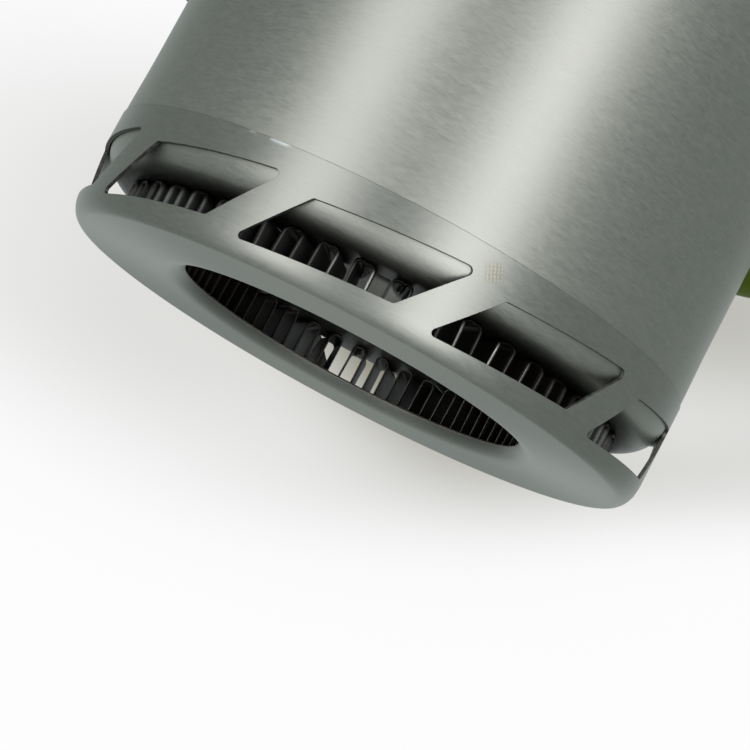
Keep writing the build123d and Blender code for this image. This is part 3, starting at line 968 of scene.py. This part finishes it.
# The same aluminium where it was sheared: bare and marked every 0.7 mm. How bright each cut shows is
# painted light: brighter where lamp light falls on it, and near black elsewhere, at the inner ends
# and over the crests, as painted shade.
cut_paint, tree = start_material("lit_and_shaded_cut_aluminium_edge")
place = add(tree, "ShaderNodeTexCoord").outputs["Object"]
marks = add(tree, "ShaderNodeTexNoise", Vector=place, Scale=1.5 / MM, Detail=2.0)
shine = add(tree, "ShaderNodeAttribute", {"attribute_name": "cut_painted_light"}).outputs["Fac"]
bare = add(tree, "ShaderNodeMix", of_colours, i0=marks, i6="9A9C95", i7="CFD0C9")
edge = add(tree, "ShaderNodeMix", of_colours, i0=shine, i6="20221E", i7=bare)
shader = add(tree, "ShaderNodeBsdfPrincipled", Base_Color=edge, Metallic=1.0, Roughness=0.42)
add(tree, "ShaderNodeOutputMaterial", Surface=shader)

fins = make_piece(fin_mesh, "pot", fin_paint, sharp=60.0)
fin_mesh.materials.append(cut_paint)
thickness = fins.vertex_groups.new(name="thickness")
fit(
    fins,
    "sheet",
    "SOLIDIFY",
    thickness=fin_sheet,
    vertex_group=thickness.name,
    offset=0.0,
    material_offset_rim=1,
)
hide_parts("fin_strip")
dress("fin_strip", fin_paint)


# ======== Handle bracket ========
# One folded stainless sheet, riveted high on the wall at the back. Its two level ears hold the
# handles' ends, and domed rivets go through to washers inside the pot.

plate_low, plate_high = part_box("handle_bracket")
bracket_sheet = 1.5 * MM
ear_corner = 5.0 * MM
bracket_fold = 2.4 * MM
bracket_edge = 0.25 * MM
bracket_columns = 40
ear_steps = 10
fold_steps = 6
back_steps = 12
line_depth = 0.004 * MM


# Stainless sheet, brushed along its grain: lines 4.5 mm long and 0.1 mm apart, which blur its
# shine one way. Its rivets are satin aluminium, grained 0.4 mm every way and so evenly dull. On
# both, clouds of 8 mm vary the shine a little.
def brushed_metal(name, scale, rough, dull, clear):
    """Bare metal with fine lines, at so many to the metre along each axis."""
    material, tree = start_material(name)
    place = add(tree, "ShaderNodeTexCoord").outputs["Object"]
    drawn = add(tree, "ShaderNodeMapping", Vector=place, Scale=scale)
    lines = add(tree, "ShaderNodeTexNoise", Vector=drawn, Scale=1.0, Detail=4.0, Roughness=0.65)
    cloud = add(tree, "ShaderNodeTexNoise", Vector=place, Scale=0.12 / MM, Detail=3.0)
    shown = add(tree, "ShaderNodeMapRange", i0=lines, i1=0.3, i2=0.7)
    dulled = add(tree, "ShaderNodeMapRange", i0=cloud, i1=0.35, i2=0.65, i3=rough, i4=rough + 0.08)
    shader = add(
        tree,
        "ShaderNodeBsdfPrincipled",
        Base_Color=add(tree, "ShaderNodeMix", of_colours, i0=shown, i6=dull, i7=clear),
        Metallic=1.0,
        Roughness=dulled,
        Normal=add(tree, "ShaderNodeBump", Strength=1.0, Distance=line_depth, Height=lines),
    )
    add(tree, "ShaderNodeOutputMaterial", Surface=shader)
    return material


along_sheet = (0.22 / MM, 0.22 / MM, 9 / MM)
every_way = (2.6 / MM, 2.6 / MM, 2.6 / MM)
steel_paint = brushed_metal("brushed_stainless_sheet", along_sheet, 0.27, "A9A8A5", "C9C8C5")
rivet_paint = brushed_metal("satin_rivet_aluminium", every_way, 0.33, "ADACA8", "C6C5C0")

bracket_mesh = bpy.data.meshes.new("bracket_sheet")
shape = bmesh.new()
half_wide = plate_high.x
ear_reach = plate_high.y
low_end = plate_low.z + bracket_fold
high_end = plate_high.z - bracket_fold
rows = []
for column in range(bracket_columns + 1):
    across = -half_wide * math.cos(math.pi * column / bracket_columns)
    wall_out = math.sqrt(pot_radius**2 - across**2)
    corner = max(0.0, abs(across) - (half_wide - ear_corner))
    tip = ear_reach - ear_corner + math.sqrt(max(0.0, ear_corner**2 - corner**2))
    fold_out = wall_out + bracket_fold
    path = spaced((tip, plate_low.z), (fold_out, plate_low.z), ear_steps)
    path += arc((fold_out, low_end), bracket_fold, bracket_fold, 270, 180, fold_steps)
    path += spaced((wall_out, low_end), (wall_out, high_end), back_steps)[1:]
    path += arc((fold_out, high_end), bracket_fold, bracket_fold, 180, 90, fold_steps)
    path += spaced((fold_out, plate_high.z), (tip, plate_high.z), ear_steps)[1:]
    path.append((tip, plate_high.z))
    rows.append([shape.verts.new((across, out, height)) for out, height in path])
fill(rows)
bmesh.ops.recalc_face_normals(shape, faces=shape.faces)
shape.to_mesh(bracket_mesh)
shape.free()
bracket = make_piece(bracket_mesh, "pot", steel_paint, sharp=50.0)
middle = Vector((0, pot_radius, (plate_low.z + plate_high.z) / 2))
middle_face = min(bracket_mesh.polygons, key=lambda face: (face.center - middle).length)
away_from_wall = 1.0 if middle_face.normal.y > 0 else -1.0
fit(bracket, "sheet", "SOLIDIFY", thickness=bracket_sheet, offset=away_from_wall)
fit(
    bracket,
    "edge",
    "BEVEL",
    width=bracket_edge,
    segments=3,
    limit_method="ANGLE",
    angle_limit=math.radians(50),
)
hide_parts("handle_bracket")
dress("handle_bracket", steel_paint)
dress("bracket_rivets", rivet_paint)
dress("bracket_washers", rivet_paint)


# ======== Folding handles ========
# Each handle is one loop of stainless wire whose ends spring into the bracket's ears. It hugs the
# wall when it is folded, and a moulded silicone sleeve covers all but its last stretch.

hinge = Vector(joints["right_handle_swing"]["pos_m"])
wire_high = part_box("right_handle_wire")[1]
grip_low, grip_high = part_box("right_handle_grip")
wire_radius = 2.0 * MM
wire_edge = 0.5 * MM
grip_radius = 3.6 * MM
grip_lip = 0.9 * MM
leg_low = grip_low.z + grip_radius
leg_high = grip_high.z - grip_radius
leg_bend = 4.0 * MM
leg_straight = 14.0 * MM
leg_heading = math.radians(14.0)
bow_radius = pot_radius + 19.65 * MM
bow_end = math.radians(60.0)
bow_steps = 40
loop_bend = 9.0 * MM
grip_start = math.radians(19.0)
pin_length = wire_high.z - leg_high - leg_bend
pin_steps = 4
bare_steps = 6
bend_steps = 12
upright_steps = 5
cap_steps = 4
tube_sides = 40
same_point = 1e-6

straight_way = Vector((math.cos(leg_heading), -math.sin(leg_heading), 0))
bow_start = Vector((hinge.x, hinge.y, 0)) + straight_way * leg_straight
bow_centre = bow_start - Vector((math.sin(leg_heading), math.cos(leg_heading), 0)) * bow_radius


def bow(start, end, height, steps=bow_steps):
    """Stretch of a bowed leg between two headings."""
    points = []
    for step in range(steps + 1):
        turn = start + (end - start) * step / steps
        out = Vector((math.sin(turn), math.cos(turn), 0)) * bow_radius
        points.append(bow_centre + out + Vector((0, 0, height)))
    return points


def corner_bend(start, corner, end):
    """Quarter round between two points, with a square corner at the third."""
    centre = start + end - corner
    points = []
    for step in range(bend_steps + 1):
        angle = math.pi / 2 * step / bend_steps
        points.append(centre + (start - centre) * math.cos(angle) + (end - centre) * math.sin(angle))
    return points


def hinge_end(height, up):
    """Pin, bend and bare straight of a leg, from the pin's tip."""
    foot = Vector((hinge.x, hinge.y, height))
    away = Vector((0, 0, up))
    pin = [
        foot + away * (leg_bend + pin_length * (pin_steps - step) / pin_steps)
        for step in range(pin_steps)
    ]
    turn = corner_bend(foot + away * leg_bend, foot, foot + straight_way * leg_bend)
    bare = leg_straight - leg_bend
    run = [foot + straight_way * (leg_bend + bare * step / bare_steps) for step in range(1, bare_steps)]
    return pin + turn + run


def loop_end():
    """The loop's far end: bend, upright and bend."""
    end_way = Vector((math.cos(bow_end), -math.sin(bow_end), 0)) * loop_bend
    low = bow(bow_end, bow_end, leg_low, 1)[0]
    high = bow(bow_end, bow_end, leg_high, 1)[0]
    rise = Vector((0, 0, loop_bend))
    first = corner_bend(low, low + end_way, low + end_way + rise)
    last = corner_bend(high + end_way - rise, high + end_way, high)
    run = [first[-1].lerp(last[0], step / upright_steps) for step in range(1, upright_steps)]
    return first + run + last


def first_long(ways):
    """The first of some ways that isn't next to nothing."""
    return next((way for way in ways if way.length > same_point), None)


def tube(name, rings, sides=tube_sides):
    """Round tube through rings of (centre, radius), with its length and turn as a map for finishes."""
    centres = [centre for centre, _ in rings]
    ways = []
    for place, centre in enumerate(centres):
        back = first_long(centre - other for other in centres[:place][::-1])
        ahead = first_long(other - centre for other in centres[place + 1 :])
        ways.append(((back or ahead).normalized() + (ahead or back).normalized()).normalized())
    across = ways[0].orthogonal().normalized()
    points = []
    for way, (centre, radius) in zip(ways, rings):
        across = (across - way * across.dot(way)).normalized()
        other = way.cross(across)
        for side in range(sides):
            angle = 2 * math.pi * side / sides
            points.append(centre + (across * math.cos(angle) + other * math.sin(angle)) * radius)
    faces = []
    for ring in range(len(rings) - 1):
        low = ring * sides
        high = low + sides
        for side in range(sides):
            ahead = (side + 1) % sides
            faces.append((low + side, low + ahead, high + ahead, high + side))
    faces.append(tuple(range(sides))[::-1])
    faces.append(tuple((len(rings) - 1) * sides + side for side in range(sides)))
    mesh = bpy.data.meshes.new(name)
    mesh.from_pydata(points, [], faces)
    lengths = [0.0]
    for first, second in zip(centres, centres[1:]):
        lengths.append(lengths[-1] + (second - first).length)
    turn_map = mesh.uv_layers.new(name="length_and_turn")
    for face in mesh.polygons:
        for place, corner in enumerate(face.loop_indices):
            point = face.vertices[place]
            turn = point % sides / sides
            if turn == 0 and place in (1, 2):
                turn = 1
            turn_map.data[corner].uv = (lengths[point // sides], turn)
    return mesh


def rounded_rod(path, radius, edge):
    """Rings of a solid rod with rounded ends."""
    rings = [(point, radius) for point in path]
    for end, inner in ((0, 1), (-1, -2)):
        way = (path[inner] - path[end]).normalized()
        caps = []
        for step in range(cap_steps):
            angle = math.pi / 2 * step / cap_steps
            centre = path[end] + way * edge * (1 - math.sin(angle))
            caps.append((centre, radius - edge * (1 - math.cos(angle))))
        rings = caps[::-1] + rings[1:] if end == 0 else rings[:-1] + caps
    return rings


def mirrored(path):
    """The same path on the other side of the pot."""
    return [Vector((-point.x, point.y, point.z)) for point in path]


# Stainless wire, drawn: lines 6 mm long run down its length, sixty round its turn, so that its
# shine is one long bright thread. Clouds of 6 mm vary it a little.
wire_paint, tree = start_material("drawn_stainless_wire")
length_and_turn = add(tree, "ShaderNodeTexCoord").outputs["UV"]
drawn = add(tree, "ShaderNodeMapping", Vector=length_and_turn, Scale=(0.16 / MM, 60.0, 1.0))
lines = add(tree, "ShaderNodeTexNoise", Vector=drawn, Scale=1.0, Detail=4.0, Roughness=0.6)
place = add(tree, "ShaderNodeTexCoord").outputs["Object"]
cloud = add(tree, "ShaderNodeTexNoise", Vector=place, Scale=0.16 / MM, Detail=3.0)
shader = add(
    tree,
    "ShaderNodeBsdfPrincipled",
    Base_Color=add(tree, "ShaderNodeMix", of_colours, i0=lines, i6="B3B2AF", i7="D3D2CF"),
    Metallic=1.0,
    Roughness=add(tree, "ShaderNodeMapRange", i0=cloud, i1=0.35, i2=0.65, i3=0.2, i4=0.3),
    Normal=add(tree, "ShaderNodeBump", Strength=1.0, Distance=line_depth, Height=lines),
)
add(tree, "ShaderNodeOutputMaterial", Surface=shader)

# Olive green silicone, moulded: matte, with a grain of 0.2 mm, and a little dust in clouds of 7 mm.
grain_depth = 0.03 * MM
grip_paint, tree = start_material("olive_green_silicone")
place = add(tree, "ShaderNodeTexCoord").outputs["Object"]
grain = add(tree, "ShaderNodeTexNoise", Vector=place, Scale=5.2 / MM, Detail=2.0)
cloud = add(tree, "ShaderNodeTexNoise", Vector=place, Scale=0.14 / MM, Detail=4.0, Roughness=0.6)
dust = add(tree, "ShaderNodeMapRange", i0=cloud, i1=0.4, i2=0.75)
shader = add(
    tree,
    "ShaderNodeBsdfPrincipled",
    Base_Color=add(tree, "ShaderNodeMix", of_colours, i0=dust, i6="60720F", i7="6B7D18"),
    Roughness=add(tree, "ShaderNodeMapRange", i0=cloud, i1=0.35, i2=0.65, i3=0.5, i4=0.62),
    Specular_IOR_Level=0.4,
    Normal=add(tree, "ShaderNodeBump", Strength=0.5, Distance=grain_depth, Height=grain),
)
add(tree, "ShaderNodeOutputMaterial", Surface=shader)

wire_path = (
    hinge_end(leg_low, -1)
    + bow(leg_heading, bow_end, leg_low)
    + loop_end()[1:-1]
    + bow(bow_end, leg_heading, leg_high)
    + hinge_end(leg_high, 1)[::-1]
)
grip_path = bow(grip_start, bow_end, leg_low) + loop_end()[1:-1] + bow(bow_end, grip_start, leg_high)
for side, wire_line, grip_line in (
    ("right", wire_path, grip_path),
    ("left", mirrored(wire_path), mirrored(grip_path)),
):
    body = f"{side}_handle"
    loop = tube(f"{side}_wire_loop", rounded_rod(wire_line, wire_radius, wire_edge))
    wire = make_piece(loop, body, wire_paint)
    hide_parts(f"{side}_handle_wire")
    sleeve = tube(f"{side}_silicone_sleeve", rounded_rod(grip_line, grip_radius, grip_lip))
    grip = make_piece(sleeve, body, grip_paint)
    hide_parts(f"{side}_handle_grip")
    dress(f"{side}_handle_wire", wire_paint)
    dress(f"{side}_handle_grip", grip_paint)


# ======== Lid ========
# A pressed aluminium lid: its flange lies on the rim, its well drops into the pot, and holes at
# both sides let steam and water out. A riveted base in the middle holds the folding lifter.

lid_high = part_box("lid_shell")[1]
lid_sheet = 0.8 * MM
well_radius = bore_radius - 0.5 * MM
well_top = lid_high.z - 3.7 * MM
panel_top = well_top + 1.2 * MM
panel_radius = well_radius - 16.35 * MM
ramp_end = panel_radius + 3.0 * MM
ramp_ease = 0.12 * MM
lid_bend = 1.0 * MM
lid_turns = 360
drain_count = 9
drain_radius = 2.2 * MM
drain_circle = well_radius - 7.05 * MM
drain_pitch = 7.0
drill_length = 8 * MM
drill_sides = 40

# the lid's upper face from the middle out to its edge, then the sheet's underside back
well_side = well_radius - lid_sheet
low_bend = (well_side - lid_bend, well_top + lid_bend)
high_bend = (well_side + lid_bend, lid_high.z - lid_bend)
upper = (
    spaced((0, panel_top), (panel_radius - lid_bend, panel_top), 14)
    + spaced((panel_radius - lid_bend, panel_top), (panel_radius, panel_top - ramp_ease), 3)
    + spaced((panel_radius, panel_top - ramp_ease), (ramp_end, well_top + ramp_ease), 6)
    + spaced((ramp_end, well_top + ramp_ease), (ramp_end + lid_bend, well_top), 3)
    + spaced((ramp_end + lid_bend, well_top), (well_side - lid_bend, well_top), 8)
    + arc(low_bend, lid_bend, lid_bend, 270, 360, 8)
    + arc(high_bend, lid_bend, lid_bend, 180, 90, 8)
    + [(lid_high.x - 0.3 * MM, lid_high.z)]
)
half_sheet = lid_sheet / 2
lid_edge = arc((lid_high.x - half_sheet, lid_high.z - half_sheet), half_sheet, half_sheet, 90, -90, 8)
inner_bend = lid_bend - lid_sheet
outer_bend = lid_bend + lid_sheet
under = (
    arc(high_bend, inner_bend + 0.05 * MM, inner_bend, 90, 180, 4)
    + arc(low_bend, outer_bend, outer_bend, 360, 270, 8)
    + [(ramp_end + lid_bend, well_top - lid_sheet), (ramp_end, well_top - lid_sheet + ramp_ease)]
    + [(panel_radius, panel_top - lid_sheet - ramp_ease)]
    + [(panel_radius - lid_bend, panel_top - lid_sheet), (0, panel_top - lid_sheet)]
)
lid_mesh = turned("pressed_lid", upper + lid_edge + under, lid_turns)
shape = cleaned(lid_mesh)
shape.to_mesh(lid_mesh)
shape.free()

# the drain holes are drilled through it
drill_mesh = bpy.data.meshes.new("drain_drill")
shape = bmesh.new()
for side in (90, 270):
    for number in range(drain_count):
        azimuth = math.radians(side + (number - (drain_count - 1) / 2) * drain_pitch)
        bmesh.ops.create_cone(
            shape,
            cap_ends=True,
            segments=drill_sides,
            radius1=drain_radius,
            radius2=drain_radius,
            depth=drill_length,
            matrix=Matrix.Translation(at_azimuth(azimuth, drain_circle, well_top)),
        )
shape.to_mesh(drill_mesh)
shape.free()
drill = bpy.data.objects.new("drain_drill", drill_mesh)
blank = bpy.data.objects.new("lid_blank", lid_mesh)
for thing in (drill, blank):
    scene.collection.objects.link(thing)
fit(blank, "drains", "BOOLEAN", operation="DIFFERENCE", solver="EXACT", object=drill)
bpy.context.view_layer.update()
drilled = bpy.data.meshes.new_from_object(blank.evaluated_get(bpy.context.evaluated_depsgraph_get()))
drilled.name = "pressed_lid"
drilled.materials.clear()
for thing in (drill, blank):
    bpy.data.objects.remove(thing)

# The lid is finished as the wall is, with its brushing in rings.
lid = make_piece(drilled, "lid", pot_paint)
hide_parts("lid_shell")
dress("lid_shell", pot_paint)
dress("lid_lifter_bracket", steel_paint)
dress("lid_rivets", rivet_paint)
dress("lid_washers", rivet_paint)


# ======== Lid lifter ========
# A small wire loop, hinged in the base's two ears, with a silicone sleeve on its bar. It lies flat
# on the lid and stands up to be held.

lifter_hinge = Vector(joints["lifter_fold"]["pos_m"])
loop_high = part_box("lid_lifter_wire")[1]
bar_low, bar_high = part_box("lid_lifter_grip")
lifter_radius = 1.5 * MM
lifter_edge = 0.4 * MM
lifter_bend = 5.0 * MM
lifter_grip_radius = 3.2 * MM
lifter_grip_lip = 0.7 * MM
sleeve_steps = 8
half_loop = loop_high.x - lifter_radius
bar_out = loop_high.y - lifter_radius
pin_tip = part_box("lid_lifter_bracket")[1].x - 3.2 * MM


def on_lid(across, out):
    """Point of the lifter as it lies on the lid."""
    return lifter_hinge + Vector((across, out, 0))


leg_start = half_loop - lifter_bend
bar_start = bar_out - lifter_bend
leg_length = bar_out - 2 * lifter_bend
half_path = [on_lid(pin_tip + (leg_start - pin_tip) * step / pin_steps, 0) for step in range(pin_steps)]
half_path += corner_bend(on_lid(leg_start, 0), on_lid(half_loop, 0), on_lid(half_loop, lifter_bend))
half_path += [
    on_lid(half_loop, lifter_bend + leg_length * step / upright_steps)
    for step in range(1, upright_steps)
]
half_path += corner_bend(
    on_lid(half_loop, bar_start), on_lid(half_loop, bar_out), on_lid(leg_start, bar_out)
)
lifter_path = half_path + mirrored(half_path)[::-1]
sleeve_length = bar_high.x - bar_low.x
sleeve_path = [
    on_lid(bar_low.x + sleeve_length * step / sleeve_steps, bar_out)
    for step in range(sleeve_steps + 1)
]
loop = tube("lifter_wire_loop", rounded_rod(lifter_path, lifter_radius, lifter_edge))
lifter = make_piece(loop, "lid_lifter", wire_paint)
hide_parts("lid_lifter_wire")
sleeve = tube("lifter_silicone_sleeve", rounded_rod(sleeve_path, lifter_grip_radius, lifter_grip_lip))
grip = make_piece(sleeve, "lid_lifter", grip_paint)
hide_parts("lid_lifter_grip")
dress("lid_lifter_wire", wire_paint)
dress("lid_lifter_grip", grip_paint)
